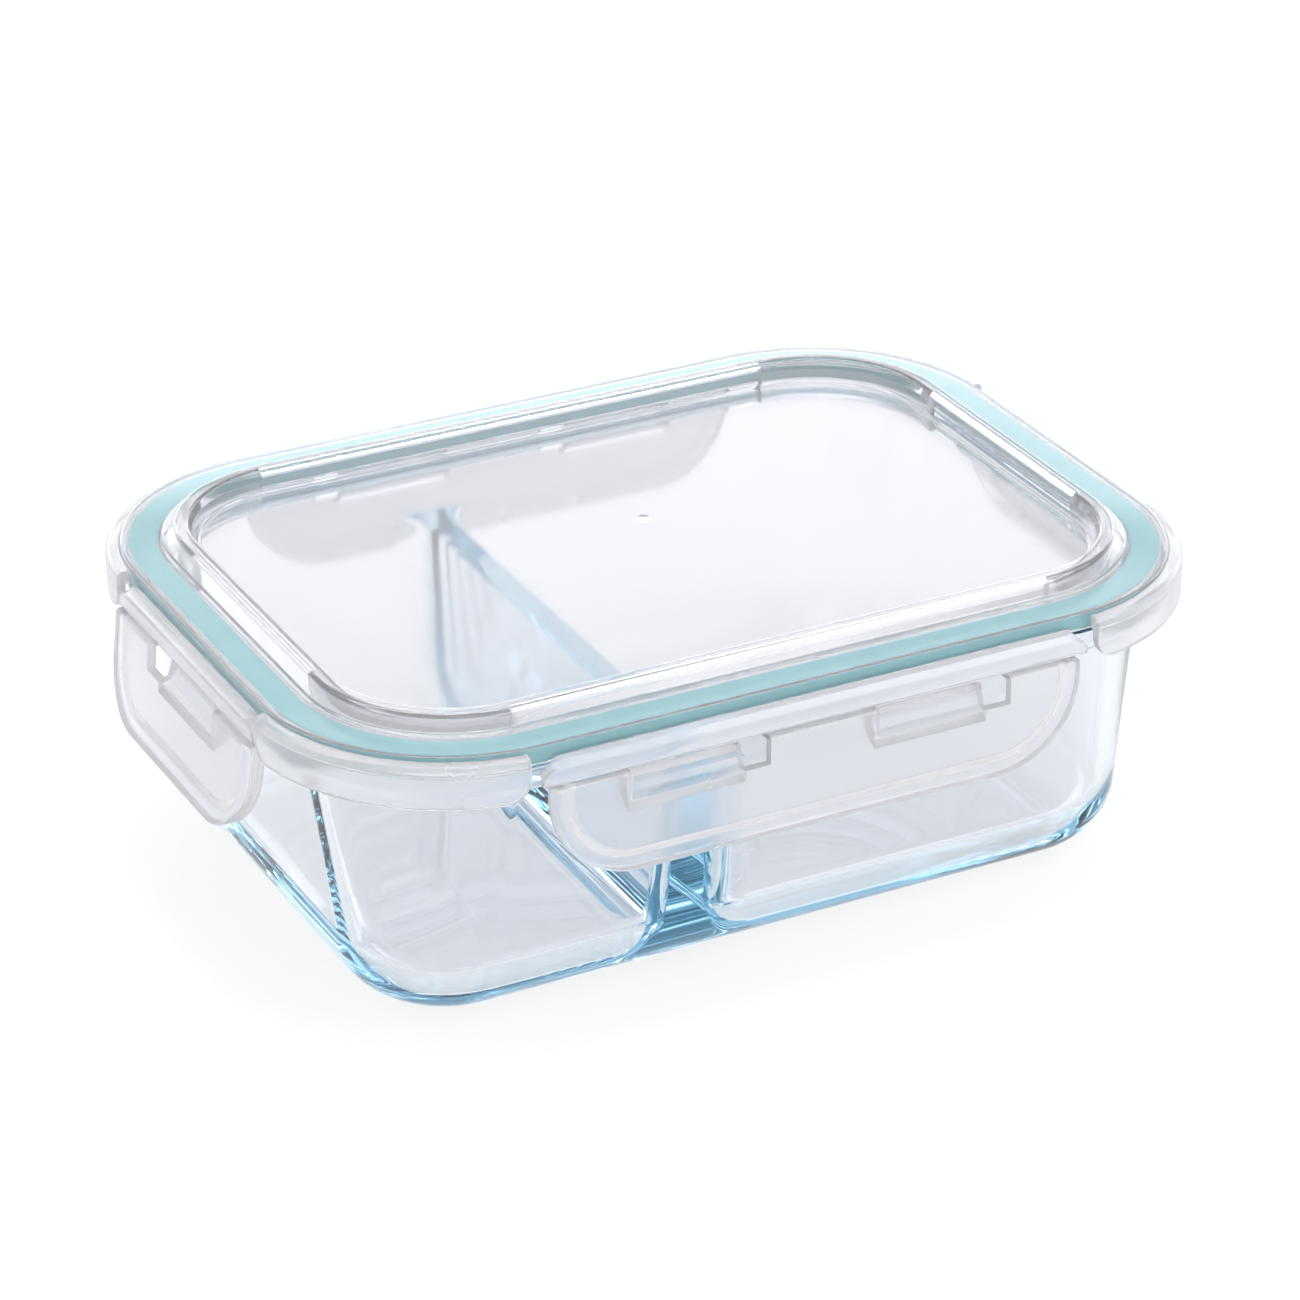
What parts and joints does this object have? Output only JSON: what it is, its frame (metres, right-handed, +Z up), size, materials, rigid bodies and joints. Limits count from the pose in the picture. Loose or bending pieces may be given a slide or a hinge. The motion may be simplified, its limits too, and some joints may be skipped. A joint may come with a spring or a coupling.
{
  "type": "glass storage container",
  "caption": "Rectangular glass food container with a divider, a clear stacking lid, a teal sealing ring and hinged locking flaps on its sides.",
  "frame": {"origin": "centre of the underside of the glass, on the surface it stands on", "axes": "+X along the long side towards the larger compartment, -Y out of the front flap, +Z up"},
  "size_m": [0.2218, 0.1586, 0.0724],
  "materials": {
    "glass": "clear polished pressed glass, faint blue-green where thick",
    "clear_lid": "clear smooth moulded plastic, slightly milky",
    "frosted_flap": "translucent frosted moulded plastic",
    "seal": "matt teal silicone rubber"
  },
  "bodies": {
    "base": {"glass_base": "glass"},
    "lid": {"lid_panel": "clear_lid", "lid_gasket": "seal"},
    "front_web": {"front_hinge_web": "frosted_flap"},
    "front_flap": {"front_locking_flap": "frosted_flap"},
    "right_web": {"right_hinge_web": "frosted_flap"},
    "right_flap": {"right_locking_flap": "frosted_flap"},
    "rear_web": {"rear_hinge_web": "frosted_flap"},
    "rear_flap": {"rear_locking_flap": "frosted_flap"},
    "left_web": {"left_hinge_web": "frosted_flap"},
    "left_flap": {"left_locking_flap": "frosted_flap"}
  },
  "joints": [
    {"name": "lid_lift", "type": "slide", "parent": "base", "child": "lid", "axis": [0, 0, 1], "range_m": [0, 0.02]},
    {"name": "front_web_fold", "type": "hinge", "parent": "lid", "child": "front_web", "pos_m": [0, -0.07596, 0.0669], "axis": [-1, 0, 0], "range_deg": [0, 90]},
    {"name": "front_flap_fold", "type": "hinge", "parent": "front_web", "child": "front_flap", "pos_m": [0, -0.07886, 0.0609], "axis": [-1, 0, 0], "range_deg": [0, 110]},
    {"name": "right_web_fold", "type": "hinge", "parent": "lid", "child": "right_web", "pos_m": [0.10366, 0, 0.0669], "axis": [0, -1, 0], "range_deg": [0, 90]},
    {"name": "right_flap_fold", "type": "hinge", "parent": "right_web", "child": "right_flap", "pos_m": [0.10656, 0, 0.0609], "axis": [0, -1, 0], "range_deg": [0, 110]},
    {"name": "rear_web_fold", "type": "hinge", "parent": "lid", "child": "rear_web", "pos_m": [0, 0.07596, 0.0669], "axis": [1, 0, 0], "range_deg": [0, 90]},
    {"name": "rear_flap_fold", "type": "hinge", "parent": "rear_web", "child": "rear_flap", "pos_m": [0, 0.07886, 0.0609], "axis": [1, 0, 0], "range_deg": [0, 110]},
    {"name": "left_web_fold", "type": "hinge", "parent": "lid", "child": "left_web", "pos_m": [-0.10366, 0, 0.0669], "axis": [0, 1, 0], "range_deg": [0, 90]},
    {"name": "left_flap_fold", "type": "hinge", "parent": "left_web", "child": "left_flap", "pos_m": [-0.10656, 0, 0.0609], "axis": [0, 1, 0], "range_deg": [0, 110]}
  ],
  "couplings": [
    {"joint": "front_web_fold", "follows": "lid_lift", "rad_per_m": 78.5},
    {"joint": "right_web_fold", "follows": "lid_lift", "rad_per_m": 78.5},
    {"joint": "rear_web_fold", "follows": "lid_lift", "rad_per_m": 78.5},
    {"joint": "left_web_fold", "follows": "lid_lift", "rad_per_m": 78.5}
  ]
}
